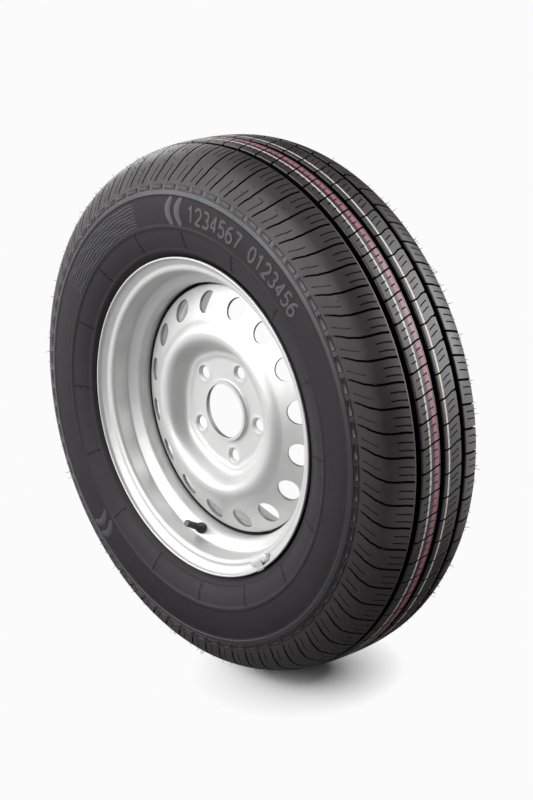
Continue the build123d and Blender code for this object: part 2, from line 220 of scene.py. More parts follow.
def facing_out(points, quads):
    """Turn all faces round if the volume that they enclose, summed over corner triangles, is negative."""
    a, b, c, d = (points[quads[:, k]] for k in range(4))
    volume = (np.cross(a, b) * c).sum() + (np.cross(a, c) * d).sum()
    return quads if volume > 0 else quads[:, ::-1]


def make_piece(name, points, quads, material, body, replaced=(), sharp=40.0, depth=None):
    """A mesh object from points in millimetres, smooth except where faces meet at a sharp angle."""
    mesh = bpy.data.meshes.new(name)
    mesh.vertices.add(len(points))
    mesh.vertices.foreach_set("co", (points * MM).astype(np.float32).ravel())
    mesh.loops.add(quads.size)
    mesh.loops.foreach_set("vertex_index", np.ascontiguousarray(quads, np.int32).ravel())
    mesh.polygons.add(len(quads))
    mesh.polygons.foreach_set("loop_start", np.arange(0, quads.size, 4, dtype=np.int32))
    mesh.polygons.foreach_set("use_smooth", np.ones(len(quads), bool))
    mesh.update(calc_edges=True)
    mesh.set_sharp_from_angle(angle=radians(sharp))
    if depth is not None:
        layer = mesh.attributes.new("depth", "FLOAT", "POINT")
        layer.data.foreach_set("value", depth.astype(np.float32).ravel())
    piece = bpy.data.objects.new(name, mesh)
    bpy.context.scene.collection.objects.link(piece)
    mesh.materials.append(material)
    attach(piece, body)
    if replaced:
        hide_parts(*replaced)
    return piece


def second_finish(piece, material, where):
    """Give a piece's faces another material where a mask is true."""
    piece.data.materials.append(material)
    piece.data.polygons.foreach_set("material_index", where.astype(np.int32))


def weld(points, quads):
    """Join points within a few thousandths of a millimetre, found by rounding their coordinates."""
    near, shift = 0.004, 0.37
    key = np.round(points / near + shift).astype(np.int64)
    _, first, same = np.unique(key, axis=0, return_index=True, return_inverse=True)
    return points[first], same.reshape(-1)[quads]


def shell(points, quads, thickness):
    """Give a sheet its thickness: a copy moved back along its mean normals, and a wall on each open edge."""
    a, b, c, d = (points[quads[:, k]] for k in range(4))
    face = np.cross(c - a, d - b)
    normal = np.zeros_like(points)
    np.add.at(normal, quads.ravel(), np.repeat(face, 4, axis=0))
    normal /= np.linalg.norm(normal, axis=1)[:, None]
    count = len(points)
    edges = np.stack([quads, np.roll(quads, -1, axis=1)], -1).reshape(-1, 2)
    code = np.sort(edges, 1) @ np.array([count, 1])
    _, first, times = np.unique(code, return_index=True, return_counts=True)
    rim = edges[first[times == 1]]
    walls = np.stack([rim[:, 1], rim[:, 0], rim[:, 0] + count, rim[:, 1] + count], 1)
    return np.vstack([points, points - thickness * normal]), np.vstack([quads, quads[:, ::-1] + count, walls])


def smooth_line(points, steps):
    """Catmull-Rom curve: each span is a cubic whose end slopes are half the step between its neighbours."""
    p = np.asarray(points, float)
    p = np.vstack([2 * p[0] - p[1], p, 2 * p[-1] - p[-2]])
    t = np.linspace(0, 1, steps, endpoint=False)[None, :, None]
    a, b, c, d = (p[k : len(p) - 3 + k][:, None] for k in range(4))
    line = b + 0.5 * ((c - a) * t + (2 * a - 5 * b + 4 * c - d) * t**2 + (3 * b - a - 3 * c + d) * t**3)
    return np.vstack([line.reshape(-1, p.shape[1]), p[-2]])


def rounded_line(points, radii, steps):
    """Straight runs joined by arcs: each arc touches both runs, with its centre on the corner's bisector."""
    p = np.asarray(points, float)
    out = [p[:1]]
    for before, corner, after, radius in zip(p[:-2], p[1:-1], p[2:], radii):
        a = (before - corner) / np.linalg.norm(before - corner)
        b = (after - corner) / np.linalg.norm(after - corner)
        half = np.arccos(np.clip(a @ b, -1, 1)) / 2
        if radius <= 0 or half > np.pi / 2 - 1e-3:
            out.append(corner[None])
            continue
        centre = corner + (a + b) / np.linalg.norm(a + b) * radius / np.sin(half)
        start = corner + a * radius / np.tan(half) - centre
        end = corner + b * radius / np.tan(half) - centre
        t = np.linspace(0, 1, steps)[:, None]
        swing = np.pi - 2 * half
        out.append(centre + (np.sin((1 - t) * swing) * start + np.sin(t * swing) * end) / np.sin(swing))
    return np.vstack([*out, p[-1:]])


def normals_of(line):
    """Unit normals of a line of (radius, y) points: its direction turned by a quarter."""
    step = np.gradient(line, axis=0)
    step /= np.linalg.norm(step, axis=1)[:, None]
    return np.stack([-step[:, 1], step[:, 0]], 1)


def sheet_section(middle, thickness):
    """Closed section of a sheet: its middle line moved half a thickness each way, with half-round ends."""
    n = normals_of(middle)
    t = np.linspace(0, np.pi, 7)[1:-1, None]
    along = np.stack([n[:, 1], -n[:, 0]], 1)
    half = thickness / 2
    end = middle[-1] + half * (np.cos(t) * n[-1] + np.sin(t) * along[-1])
    start = middle[0] - half * (np.cos(t) * n[0] + np.sin(t) * along[0])
    return np.vstack([middle + half * n, end, (middle - half * n)[::-1], start])


def plateau(place, corners):
    """1 between the middle two of four corners, falling in straight lines to 0 at the outer two."""
    return np.interp(place, corners, [0, 1, 1, 0])


def placed(r, y, degrees):
    """Points in space from radius, distance along the axis and angle in degrees."""
    t = np.radians(degrees)
    return np.stack([r * np.cos(t), y + 0 * t, r * np.sin(t)], -1)


# Materials

class Finish:
    """A material with one Principled shader, and short calls that add nodes to it."""

    def __init__(self, name, colour, roughness, metallic=0.0, specular=0.5):
        self.material = bpy.data.materials.new(name)
        self.material.use_nodes = True
        self.tree = self.material.node_tree
        self.shader = self.tree.nodes["Principled BSDF"]
        self.set("Base Color", (*colour, 1))
        self.set("Roughness", roughness)
        self.set("Metallic", metallic)
        self.set("Specular IOR Level", specular)
        self.place = self.node("ShaderNodeTexCoord").outputs["Object"]

    def node(self, kind, **settings):
        made = self.tree.nodes.new(kind)
        for key, value in settings.items():
            setattr(made, key, value)
        return made

    def feed(self, socket, value):
        if isinstance(value, bpy.types.NodeSocket):
            self.tree.links.new(value, socket)
        else:
            socket.default_value = value

    def set(self, socket, value):
        """Give one of the shader's sockets a value, or a node's output."""
        self.feed(self.shader.inputs[socket], value)

    def math(self, operation, a, b=0.0):
        made = self.node("ShaderNodeMath", operation=operation)
        for socket, value in zip(made.inputs, (a, b)):
            self.feed(socket, value)
        return made.outputs[0]

    def noise(self, scale, detail=4.0):
        made = self.node("ShaderNodeTexNoise")
        settings = {"Vector": self.place, "Scale": scale, "Detail": detail, "Roughness": 0.6}
        for socket, value in settings.items():
            self.feed(made.inputs[socket], value)
        return made.outputs["Fac"]

    def clouds(self, scale, dark, light):
        """Soft noise, and a colour that goes with it from dark to light."""
        cloud = self.noise(scale, 5.0)
        return cloud, self.mix(self.spread(cloud, 0.35, 0.75), dark, light)

    def mix(self, factor, a, b):
        made = self.node("ShaderNodeMix", data_type="RGBA")
        self.feed(made.inputs[0], factor)
        self.feed(made.inputs[6], a if isinstance(a, bpy.types.NodeSocket) else (*a, 1))
        self.feed(made.inputs[7], b if isinstance(b, bpy.types.NodeSocket) else (*b, 1))
        return made.outputs[2]

    def spread(self, value, low, high, out_low=0.0, out_high=1.0):
        made = self.node("ShaderNodeMapRange")
        for socket, v in zip(made.inputs, (value, low, high, out_low, out_high)):
            self.feed(socket, v)
        return made.outputs[0]

    def band(self, value, low, high, soft):
        """1 between low and high, falling to 0 over the soft distance on both sides."""
        rise = self.spread(value, low - soft, low + soft)
        fall = self.spread(value, high - soft, high + soft, 1.0, 0.0)
        return self.math("MULTIPLY", rise, fall)

    def bump(self, height, distance, strength):
        made = self.node("ShaderNodeBump")
        made.inputs["Strength"].default_value = strength
        made.inputs["Distance"].default_value = distance
        self.feed(made.inputs["Height"], height)
        self.set("Normal", made.outputs[0])

    def axes(self):
        """The place's three coordinates."""
        parts = self.node("ShaderNodeSeparateXYZ")
        self.feed(parts.inputs[0], self.place)
        return parts.outputs

    def length(self, a, b):
        """The root of the sum of two squares."""
        return self.math("SQRT", self.math("ADD", self.math("MULTIPLY", a, a), self.math("MULTIPLY", b, b)))

    def wheel_place(self):
        """Radius and angle in degrees round the wheel's axis, and the distance along it."""
        x, y, z = self.axes()
        angle = self.math("DEGREES", self.math("ARCTAN2", z, x))
        return self.length(x, z), angle, y


RUBBER = (0.0150, 0.0100, 0.0132)
DUSTY = (0.023, 0.0165, 0.0205)
CREAM = (0.70, 0.64, 0.58)
PINK = (0.36, 0.12, 0.155)
# Lines along the ribs: distance from the tyre's middle, half width and paint.
PAINTED_LINES = ((-19.1, 1.15, CREAM), (-9.7, 2.9, PINK), (9.9, 1.15, CREAM))


def tread_finish():
    """Black rubber with a dusty sheen, rougher on the shoulders, with lines painted along the ribs' tops."""
    f = Finish("tread_rubber", RUBBER, 0.5, specular=0.8)
    _, _, y = f.wheel_place()
    depth = f.node("ShaderNodeAttribute", attribute_name="depth").outputs["Fac"]
    cloud, colour = f.clouds(28.0, RUBBER, DUSTY)
    worn = f.spread(f.noise(700.0, 3.0), 0.28, 0.42)
    top = f.spread(depth, 0.15, 0.5, 1.0, 0.0)
    for place, half, paint in PAINTED_LINES:
        stripe = f.band(y, (place - half) * MM, (place + half) * MM, 0.0002)
        colour = f.mix(f.math("MULTIPLY", f.math("MULTIPLY", stripe, top), worn), colour, paint)
    f.set("Base Color", colour)
    shoulder = f.spread(f.math("ABSOLUTE", y), 0.058, 0.082, 0.0, 0.22)
    f.set("Roughness", f.math("ADD", f.spread(cloud, 0.3, 0.75, 0.40, 0.52), shoulder))
    f.bump(f.math("ADD", f.noise(1600.0, 2.0), f.math("MULTIPLY", f.noise(140.0), 1.5)), 0.00012, 0.4)
    return f.material


def ring_finish():
    """Smooth rubber at the top of the sidewall, with a lighter bluish tint painted on the ring for its sheen.
    """
    f = Finish("ring_rubber", RUBBER, 0.45, specular=0.5)
    radius, _, _ = f.wheel_place()
    cloud, colour = f.clouds(30.0, RUBBER, DUSTY)
    # painted sheen: the ring is coloured lighter and bluish where its sheen shows
    ring = f.band(radius, 0.2694, 0.2758, 0.0005)
    f.set("Base Color", f.mix(ring, colour, (0.026, 0.025, 0.034)))
    f.set("Roughness", f.spread(cloud, 0.3, 0.75, 0.38, 0.52))
    f.bump(f.noise(700.0, 2.0), 0.0001, 0.4)
    return f.material


def casing_finish():
    """Sidewall rubber: hatching and a near-black line of painted shade at the top of the upper band, and a
    lighter bluish tint painted on the lower band for its sheen.
    """
    f = Finish("sidewall_rubber", RUBBER, 0.6, specular=0.35)
    radius, angle, _ = f.wheel_place()
    cloud, colour = f.clouds(22.0, (0.0095, 0.0050, 0.0080), (0.0150, 0.0085, 0.0130))
    # painted sheen: the lower band is coloured lighter and bluish
    lower = f.band(radius, 0.2040, 0.2300, 0.0005)
    colour = f.mix(f.math("MULTIPLY", lower, 0.7), colour, (0.017, 0.015, 0.021))
    # painted shade: a near-black line in the crease where the upper band steps up to the ring
    edge = f.band(radius, 0.2687, 0.2694, 0.0003)
    colour = f.mix(f.math("MULTIPLY", edge, 0.85), colour, (0.002, 0.002, 0.002))
    f.set("Base Color", colour)
    f.set("Roughness", f.spread(cloud, 0.3, 0.75, 0.58, 0.70))
    band = f.band(radius, 0.2350, 0.2680, 0.0008)
    hatch = f.math("SINE", f.math("MULTIPLY", angle, 14.0 * np.pi))
    height = f.math("MULTIPLY", f.math("MULTIPLY", hatch, band), 0.35)
    f.bump(f.math("ADD", height, f.math("MULTIPLY", f.noise(600.0), 0.5)), 0.0002, 0.6)
    return f.material


def paint_finish():
    """Silver wheel paint: fine metal flake, slight orange peel, and painted shade in the crevice between disc
    and rim.
    """
    f = Finish("silver_paint", (0.58, 0.58, 0.575), 0.45, metallic=0.5)
    radius, _, y = f.wheel_place()
    flake = f.noise(5200.0, 1.0)
    colour = f.mix(flake, (0.58, 0.58, 0.58), (0.66, 0.66, 0.655))
    # painted shade: a dark grey band on the disc's edge and the rim's well, in the crevice where they meet
    painted_crevice_shade = f.math("MULTIPLY", f.band(y, -0.0270, -0.0110, 0.0006), f.spread(radius, 0.1527, 0.1535))
    painted_crevice_shade = f.math("MULTIPLY", painted_crevice_shade, f.spread(radius, 0.1582, 0.1588, 1.0, 0.0))
    f.set("Base Color", f.mix(painted_crevice_shade, colour, (0.10, 0.10, 0.10)))
    f.set("Roughness", f.spread(f.noise(60.0), 0.3, 0.7, 0.40, 0.50))
    f.bump(f.math("ADD", f.noise(420.0, 2.0), f.math("MULTIPLY", flake, 0.2)), 0.00006, 0.4)
    return f.material


def speckled_finish(name, dark, light, roughness, metallic=0.0, scale=300.0, specular=0.5):
    """A plain finish with cloudy colour and a fine grain."""
    f = Finish(name, dark, roughness, metallic, specular)
    cloud = f.noise(scale)
    f.set("Base Color", f.mix(f.spread(cloud, 0.3, 0.7), dark, light))
    f.set("Roughness", f.spread(cloud, 0.3, 0.7, roughness - 0.06, roughness + 0.06))
    f.bump(f.noise(scale * 4, 2.0), 0.00005, 0.5)
    return f.material


tread_rubber = tread_finish()
casing_rubber = casing_finish()
ring_rubber = ring_finish()
# painted sheen: the numerals and the upper bars are the sidewall's rubber coloured much lighter for the sheen
# they catch
mark_painted_sheen = speckled_finish("mark_painted_sheen", (0.085, 0.078, 0.080), (0.11, 0.10, 0.104), 0.6, specular=0.2)
# painted sheen: the sidewall's rubber coloured lighter and bluish, a dimmer copy of the numerals' colour, for
# the ridges and the lower pair of bars
ridge_painted_sheen = speckled_finish(
    "ridge_painted_sheen", (0.045, 0.046, 0.056), (0.06, 0.061, 0.073), 0.55, specular=0.2,
)
mould_rubber = speckled_finish(
    "mould_rubber", (0.004, 0.003, 0.004), (0.006, 0.005, 0.006), 0.7, specular=0.1,
)
# painted shade: faces deep in the grooves get a near-black colour for the shade there, with the rougher,
# duller finish of unworn rubber
groove_shaded_rubber = speckled_finish(
    "groove_shaded_rubber", (0.0025, 0.002, 0.0023), (0.004, 0.003, 0.0035), 0.85, specular=0.06,
)
silver_paint = paint_finish()
# painted shade: a darker grey for the walls of the disc's holes, its outer edge and its bore
edge_shade_paint = speckled_finish("edge_shade_paint", (0.20, 0.20, 0.20), (0.27, 0.27, 0.27), 0.5, 0.4)
black_rubber = speckled_finish("valve_rubber", (0.012, 0.012, 0.012), (0.022, 0.021, 0.021), 0.5)
black_plastic = speckled_finish("cap_plastic", (0.014, 0.014, 0.014), (0.02, 0.02, 0.02), 0.35)
brass = speckled_finish("turned_brass", (0.55, 0.40, 0.16), (0.66, 0.50, 0.24), 0.3, 1.0, 900.0)
bright_steel = speckled_finish("bright_steel", (0.70, 0.70, 0.70), (0.82, 0.82, 0.82), 0.42, 0.8, 900.0)
weight_zinc = speckled_finish("coated_zinc", (0.66, 0.66, 0.65), (0.76, 0.76, 0.75), 0.45, 0.35, 500.0)


# Tyre

def crown(y):
    """Radius of the tread's surface: it falls with the square of y, and a little with the fourth power."""
    return TYRE_RADIUS - CROWN_FALL * y**2 - EDGE_FALL * y**4


flank = [
    (313.8, 63.0), (309.6, 69.4), (303.2, 75.2), (293.6, 81.4), (282.2, 86.8), (270.5, 90.9),
    (258.0, 93.3), (245.0, 93.9), (232.0, 93.2), (219.0, 90.6), (208.0, 86.2), (201.5, 82.6),
]
crest = [(crown(y), y) for y in (0.0, 12.0, 24.0, 36.0, 46.0, 55.0)]
half_line = smooth_line(crest + flank, 12)
half_normals = -normals_of(half_line)
rising = slice(np.argmax(half_line[:, 1]))


def tyre_at_distance(y):
    """Radius and normal of the tyre's surface at a distance y from its middle, above its widest place."""
    values = (half_line[rising, 0], half_normals[rising, 0], half_normals[rising, 1])
    return [np.interp(y, half_line[rising, 1], v) for v in values]


def tyre_at_radius(r):
    """Distance y from the middle and normal of the tyre's surface at a radius."""
    values = (half_line[::-1, 1], half_normals[::-1, 0], half_normals[::-1, 1])
    return [np.interp(r, half_line[::-1, 0], v) for v in values]


def below_tyre(y, depth):
    """Radius and y at a depth below the tyre's surface, for a distance y from the middle at the surface."""
    r, n_r, n_y = tyre_at_distance(y)
    return r - depth * n_r, y - depth * n_y


def half_tread(half):
    """One half of the tread, in rows across it and twelve columns a pitch: y, depth, sway and starting angle.

    A point's depth is the larger of its row's, in a groove, and its column's, in a cut that crosses that row.
    Its sway is that of the main cut at its y, plus its column's offset from that cut.
    """
    def groove_wall(foot, way):
        return [(foot + way * out, deep) for out, deep in GROOVE_WALL]

    rib_end, shoulder_start = OUTER_GROOVE_FEET
    rows = groove_wall(MIDDLE_GROOVE_FOOT, 1) + [(y, 0.0) for y in half["rib_rows"]]
    rows += groove_wall(rib_end, -1)[::-1] + groove_wall(shoulder_start, 1)
    rows += [(y, 0.0) for y in half["shoulder_rows"] + FOOT_ROWS]
    y, depth = np.array(rows).T
    in_rib = y < shoulder_start

    def between(low, high):
        return ((y > low) & (y < high)).astype(float)

    slot_shape = np.array([-0.25, -0.17, 0.17, 0.25])
    widened = between(*TIE_BAR_SPAN)[:, None] * [-0.1, -0.1, 0.1, 0.1]
    rib_cut_shape = np.array([-0.19, -0.11, 0.11, 0.19]) + widened
    sipe_shape = np.array([-0.14, -0.07, 0.07, 0.14])
    sipes = (np.interp(y, SIPE_STEPS, np.repeat(half[k], 2))[:, None] for k in ("far_sipe", "near_sipe"))
    cut_shape = np.where(in_rib[:, None], rib_cut_shape, slot_shape)
    offset = np.hstack([*(sipe + sipe_shape for sipe in sipes), cut_shape])

    rib_cut = between(*RIB_SPAN) * np.interp(y, TIE_BAR_RAMP, [RIB_CUT_DEPTH, TIE_BAR_DEPTH])
    slot = between(half["slot_start"], SLOT_END) * np.interp(y, *SLOT_DEPTHS)
    sipe = SIPE_DEPTH * sum(between(*span) for span in [half["shoulder_sipes"], *half["rib_sipes"]])
    low_sipe = sipe + between(*LOW_SIPE_SPAN) * LOW_SIPE_DEPTH
    shut = np.zeros_like(y)
    main = rib_cut + slot
    cuts = [shut, low_sipe, low_sipe, shut, shut, sipe, sipe, shut, shut, main, main, shut]
    depth = np.maximum(depth[:, None], np.stack(cuts, 1))
    sway = np.where(in_rib, np.interp(y, *half["rib_sway"]), np.interp(y, *half["slot_sway"]))
    start = np.where(in_rib, half["rib_angle"], half["slot_angle"])
    return y[:, None], depth, sway[:, None] + offset, start[:, None]


def tread_piece():
    """The tread: rows across the tyre and columns round it, set below the surface by each point's depth.

    The inner half is the outer one turned end for end, so its y and sway change sign.
    """
    y, outer_depth, sway, start = half_tread(OUTER_HALF)
    outer_angle = start + sway
    outer_r, outer_y = below_tyre(y, outer_depth)
    y, inner_depth, sway, start = half_tread(INNER_HALF)
    inner_angle = (start - sway)[:, ::-1]
    inner_depth = inner_depth[:, ::-1]
    inner_r, inner_y = below_tyre(y, inner_depth)
    r = np.vstack([outer_r[::-1], inner_r])
    across = np.vstack([-outer_y[::-1], inner_y])
    angle = np.vstack([outer_angle[::-1], inner_angle])
    depth = np.vstack([outer_depth[::-1], inner_depth])

    # the underside, hidden in the casing
    under_y = np.array([84.0, 66.0, 40.0, -40.0, -66.0, -84.0])
    under_r = np.array([277.0, 294.0, 303.0, 303.0, 294.0, 277.0])
    t = np.linspace(0, 1, len(under_y) + 2)[1:-1, None]
    columns = angle.shape[1]
    r = np.vstack([r, np.repeat(under_r[:, None], columns, 1)])
    across = np.vstack([across, np.repeat(under_y[:, None], columns, 1)])
    depth = np.vstack([depth, np.full((len(under_y), columns), GROOVE_DEPTH)])
    angle = np.vstack([angle, angle[-1] * (1 - t) + angle[0] * t])

    pitch = np.arange(PITCHES) * PITCH
    full = (angle[:, None, :] + pitch[None, :, None]).reshape(len(r), -1)
    points = placed(np.tile(r, PITCHES), np.tile(across, PITCHES), full).reshape(-1, 3)
    quads = facing_out(points, grid_quads(len(r), full.shape[1]))
    deep = np.tile(depth, PITCHES)
    tread = make_piece(
        "tyre_tread", points, quads, tread_rubber, "wheel", ("tyre",), sharp=32.0, depth=deep
    )
    # faces deeper than DARK_BELOW get the painted shade of the grooves
    second_finish(tread, groove_shaded_rubber, deep.ravel()[quads].mean(1) > DARK_BELOW)


def casing_piece():
    """Sidewalls, beads and lining, turned about the axis.

    Forms on the sidewall are added along its normal: a step, a row of outlined blocks, a raised ring, and two
    sunk bands.
    """
    r = np.array([
        284.2, 283.6, 283.0, 282.2, 281.6, 281.2, 280.8, 280.4, 277.4, 277.0, 276.6, 276.2,
        275.6, 275.0, 273.0, 271.0, 270.2, 269.4, 268.8, 268.2, 266.0, 262.0, 258.0, 254.0,
        250.0, 245.0, 240.0, 236.0, 234.4, 233.8, 233.2, 232.4, 231.2, 230.6, 230.0, 229.2,
        226.0, 222.0, 217.0, 212.0, 208.0, 205.0, 204.4, 203.6, 201.5,
    ])[:, None]
    side_y, n_r, n_y = tyre_at_radius(r)
    turn = np.array([0.0, *BLOCK_TURNS[:2], *HOLLOW_TURNS[:2], 0.45, *HOLLOW_TURNS[2:], *BLOCK_TURNS[2:]])
    angle = (OUTER_HALF["slot_angle"] + PITCH * (np.arange(PITCHES)[:, None] + turn)).ravel()
    turn = np.tile(turn, PITCHES)

    height = BLOCK_HEIGHT * plateau(r, BLOCK_ROWS) * plateau(turn, BLOCK_TURNS)
    height = height - HOLLOW_DEPTH * plateau(r, HOLLOW_ROWS) * plateau(turn, HOLLOW_TURNS)
    height = height + RING_HEIGHT * plateau(r, RING_ROWS) - BAND_DEPTH * plateau(r, BAND_ROWS)
    height = height - LOWER_DEPTH * plateau(r, LOWER_ROWS) - STEP_DEPTH * np.interp(r, STEP_ROWS, [0, 1, 1])
    height = np.minimum(height, (SIDE_Y - side_y) / np.maximum(n_y, 0.2))
    bead = rounded_line(
        [
            (201.5, 82.6), (198.5, 79.0), (189.4, 69.7), (178.0, 69.6),
            (176.4, 53.0), (182.0, 52.5), (206.0, 62.0),
        ],
        [3.0, 3.0, 3.0, 4.0, 2.0], 2,
    )[1:]
    lining = [(230.0, 77.0), (255.0, 84.0), (280.0, 74.0), (300.0, 56.0), (308.0, 30.0)]
    # the top edge and the casing's crown lie under the tread
    top_r, top_y = 287.0, 80.0
    crown_r, crown_y = 309.0, 40.0
    hidden = np.vstack([bead, lining])

    def plain_rows(*values):
        return np.repeat(np.array(values)[:, None], angle.size, 1)

    half_r = np.vstack([plain_rows(top_r), r + height * n_r, plain_rows(*hidden[:, 0])])
    half_y = np.vstack([plain_rows(top_y), side_y + height * n_y, plain_rows(*hidden[:, 1])])
    r = np.vstack([half_r, half_r[::-1], plain_rows(crown_r, crown_r)])
    y = np.vstack([half_y, -half_y[::-1], plain_rows(-crown_y, crown_y)])
    points = placed(r, y, angle[None, :]).reshape(-1, 3)
    quads = facing_out(points, grid_quads(len(r), angle.size))
    casing = make_piece("tyre_casing", points, quads, casing_rubber, "wheel", ("tyre",))
    radius = np.hypot(points[:, 0], points[:, 2])[quads].mean(1)
    outside = np.abs(points[quads, 1]).mean(1) > top_y
    second_finish(casing, ring_rubber, (radius > BAND_ROWS[-1]) & outside)


def arc(x, y, across, up, start, end):
    """Points of part of an ellipse about (x, y), from one angle to another in degrees."""
    t = np.radians(np.linspace(start, end, 17))
    return list(zip(x + across * np.cos(t), y + up * np.sin(t)))


NUMERALS = {
    "0": [arc(0.5, 0.5, 0.5, 0.5, 90, 450)],
    "1": [[(0.12, 0.76), (0.58, 1.0), (0.58, 0.0)]],
    "2": [arc(0.5, 0.70, 0.48, 0.30, 170, -38) + [(0.0, 0.0), (1.0, 0.0)]],
    "3": [arc(0.45, 0.75, 0.45, 0.25, 155, -90) + arc(0.45, 0.26, 0.53, 0.26, 90, -155)],
    "4": [[(1.0, 0.28), (0.0, 0.28), (0.72, 1.0), (0.72, 0.0)]],
    "5": [[(0.92, 1.0), (0.16, 1.0), (0.08, 0.52)] + arc(0.46, 0.32, 0.52, 0.32, 138, -150)],
    "6": [arc(0.78, 0.36, 0.78, 0.64, 85, 180) + arc(0.5, 0.30, 0.5, 0.30, 180, 540)],
    "7": [[(0.0, 1.0), (1.0, 1.0), (0.36, 0.0)]],
}


def sidewall_stroke(angle, r, half_width, height):
    """A raised stroke on the outer sidewall: a low flat ridge across a path of angles and radii.

    Its rows are the ridge's section, carried along the path in even steps and drawn in at both ends.
    """
    path = np.stack([np.radians(angle) * r, r], 1)
    length = np.concatenate([[0], np.cumsum(np.linalg.norm(np.diff(path, axis=0), axis=1))])
    even = np.linspace(0, length[-1], max(int(length[-1] / STROKE_STEP), 3))
    angle, r, half_width = (np.interp(even, length, v) for v in (angle, r, half_width + 0 * length))
    side_y, n_r, n_y = tyre_at_radius(r)
    normal = placed(n_r, -n_y, angle)
    depth = np.where(r > BAND_FOOT, BAND_DEPTH, LOWER_DEPTH)
    base = placed(r, -side_y, angle) - depth[:, None] * normal
    along = np.gradient(base, axis=0)
    across = np.cross(normal, along)
    across /= np.linalg.norm(across, axis=1)[:, None]
    ends = np.ones(len(r))
    ends[[0, -1]] = 0.02
    ends[[1, -2]] = 0.8
    side = np.array([-1.0, -0.75, 0.75, 1.0, 0.6, -0.6])
    up = np.array([-0.2, height, height, -0.2, -0.35, -0.35])
    return base[:, None] + ends[:, None, None] * (
        side[:, None] * half_width[:, None, None] * across[:, None] + up[:, None] * normal[:, None]
    )


def stroke_piece(name, strokes, material):
    """One piece from many strokes, on the outer sidewall and, turned half round about Z, on the inner one."""
    points, quads, count = [], [], 0
    for rows in strokes:
        for turn in (1.0, -1.0):
            points.append((rows * [turn, turn, 1.0]).reshape(-1, 3))
            quads.append(tube_quads(len(rows), rows.shape[1]) + count)
            count += rows.shape[0] * rows.shape[1]
    points, quads = np.vstack(points), np.vstack(quads)
    make_piece(name, points, facing_out(points, quads), material, "wheel")


def sidewall_marks():
    """Raised marks: plain numerals, curved bars, a panel of fine ridges, and mould lines with short barbs."""
    numerals = []
    middle = NUMERAL_FOOT + NUMERAL_HEIGHT / 2
    for place, digit in enumerate("1234567 0123456"):
        for line in NUMERALS.get(digit, []):
            x, y = np.array(line).T
            angle = NUMERAL_START - np.degrees((place * NUMERAL_STEP + x * NUMERAL_WIDTH) / middle)
            radius = NUMERAL_FOOT + y * NUMERAL_HEIGHT
            numerals.append(sidewall_stroke(angle, radius, NUMERAL_STROKE, MARK_HEIGHT))
    t = np.linspace(-1, 1, 21)
    bar_radius, bar_width = BAR_MIDDLE + BAR_HALF * t, BAR_WIDTH - BAR_TAPER * t**2
    bars = [sidewall_stroke(s - BAR_BOW * t**2, bar_radius, bar_width, MARK_HEIGHT) for s in BAR_ANGLES]
    # the numerals and upper bars get the lighter painted sheen
    stroke_piece("sidewall_numerals", numerals + bars[:2], mark_painted_sheen)

    ridges = bars[2:]
    t = np.linspace(0, 1, 41)
    for k, r in enumerate(RIDGE_RADII):
        wave = 0.5 * np.sin(9.0 * t * np.pi + k)
        half_width = 1.25 + 0.3 * np.sin(23.0 * t + 2 * k)
        ridges.append(sidewall_stroke(RIDGE_START - RIDGE_ARC * t, r + wave, half_width, RIDGE_HEIGHT))
    # the ridges and the lower bars get the dimmer painted sheen
    stroke_piece("sidewall_ridges", ridges, ridge_painted_sheen)

    lines = []
    for angle in MOULD_LINE_ANGLE + np.arange(MOULD_LINES) * 360.0 / MOULD_LINES:
        r = np.linspace(*MOULD_LINE_ENDS, 9)
        lines.append(sidewall_stroke(angle + 0 * r, r, MOULD_LINE_WIDTH, MOULD_LINE_HEIGHT))
        for foot in BARB_FEET:
            turn = angle + np.array([0.0, BARB_TURN])
            barb = np.array([foot, foot + BARB_RISE])
            lines.append(sidewall_stroke(turn, barb, BARB_WIDTH, BARB_HEIGHT))
    stroke_piece("sidewall_mould_lines", lines, mould_rubber)


def hairs_piece():
    """Moulding hairs: thin tapered stalks along the shoulders, each bent a little to one side."""
    side = np.repeat([-1.0, 1.0], HAIRS // 2)
    y = rng.uniform(*HAIR_SPAN, HAIRS)
    angle = rng.uniform(0, 360, HAIRS)
    length = rng.uniform(*HAIR_LENGTHS, HAIRS)
    r, _, n_y = tyre_at_distance(y)
    lean = np.arctan(n_y)
    out = placed(np.cos(lean), side * np.sin(lean), angle)
    base = placed(r - HAIR_ROOT, side * y, angle)
    bend = rng.normal(0, 1, (HAIRS, 3)) * HAIR_BEND
    rows = len(HAIR_WIDTHS)
    t = np.linspace(0, 1, rows)[None, :, None]
    spine = base[:, None] + length[:, None, None] * (out[:, None] * t + bend[:, None] * t**2)
    across = np.cross(out, [0.0, 1.0, 0.0])
    across /= np.linalg.norm(across, axis=1)[:, None]
    third = np.cross(out, across)
    turn = np.linspace(0, 2 * np.pi, HAIR_SIDES, endpoint=False)
    ring = across[:, None] * np.cos(turn)[:, None] + third[:, None] * np.sin(turn)[:, None]
    points = (spine[:, :, None] + ring[:, None] * HAIR_WIDTHS[None, :, None, None]).reshape(-1, 3)
    first = np.arange(HAIRS) * rows * HAIR_SIDES
    quads = (tube_quads(rows, HAIR_SIDES)[None] + first[:, None, None]).reshape(-1, 4)
    make_piece("tyre_hairs", points, facing_out(points, quads), black_rubber, "wheel")


# Wheel

def rim_piece():
    """The rim: one sheet whose middle line has round bends, turned about the axis."""
    section = sheet_section(rounded_line(RIM_LINE, RIM_BENDS, 9), RIM_THICKNESS)
    angle = np.arange(RIM_COLUMNS) * 360.0 / RIM_COLUMNS
    points = placed(section[:, :1], section[:, 1:], angle).reshape(-1, 3)
    quads = facing_out(points, grid_quads(len(section), RIM_COLUMNS))
    make_piece("wheel_rim", points, quads, silver_paint, "wheel", ("rim",))


disc_line = smooth_line(DISC_LINE, 10)


